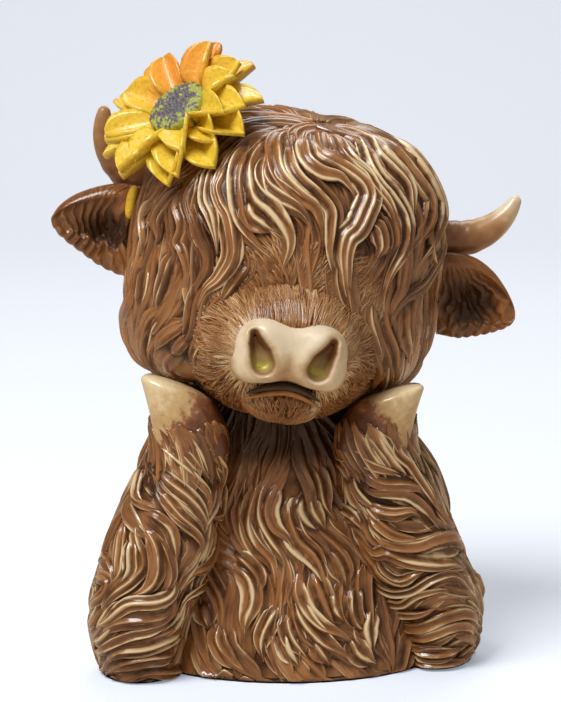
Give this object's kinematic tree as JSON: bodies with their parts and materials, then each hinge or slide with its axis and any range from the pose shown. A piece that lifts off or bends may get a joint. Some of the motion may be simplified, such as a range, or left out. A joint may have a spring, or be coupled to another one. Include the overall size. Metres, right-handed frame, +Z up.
{
  "type": "cow figurine",
  "caption": "Cast resin bust of a long-haired cow resting its chin on its hooves, with horns, a flat felt base and a sunflower on its head; a free-standing ornament.",
  "frame": {"origin": "on the underside of the felt pad, under the middle of the chest", "axes": "+Z up, -Y the way the cow looks, +X towards its left side"},
  "size_m": [0.1091, 0.0818, 0.1471],
  "materials": {
    "brown_hair": "lacquered",
    "horn_paint": "lacquered",
    "nose_paint": "satin",
    "petal_paint": "gloss",
    "seed_paint": "satin",
    "felt": "felt",
    "wire": "drawn"
  },
  "bodies": {
    "root": {"torso": "brown_hair", "head": "brown_hair", "muzzle": "brown_hair", "chin": "brown_hair", "right_ear": "brown_hair", "left_ear": "brown_hair", "right_foreleg": "brown_hair", "left_foreleg": "brown_hair", "right_horn": "horn_paint", "left_horn": "horn_paint", "right_front_claw": "horn_paint", "right_rear_claw": "horn_paint", "left_front_claw": "horn_paint", "left_rear_claw": "horn_paint", "back_petals": "petal_paint", "middle_petals": "petal_paint", "front_petals": "petal_paint", "flower_pin": "wire", "horn_pins": "wire", "ear_pins": "wire", "foreleg_dowels": "wire", "nose_pad": "nose_paint", "seed_disc": "seed_paint", "flower_calyx": "petal_paint", "felt_pad": "felt"}
  },
  "joints": []
}
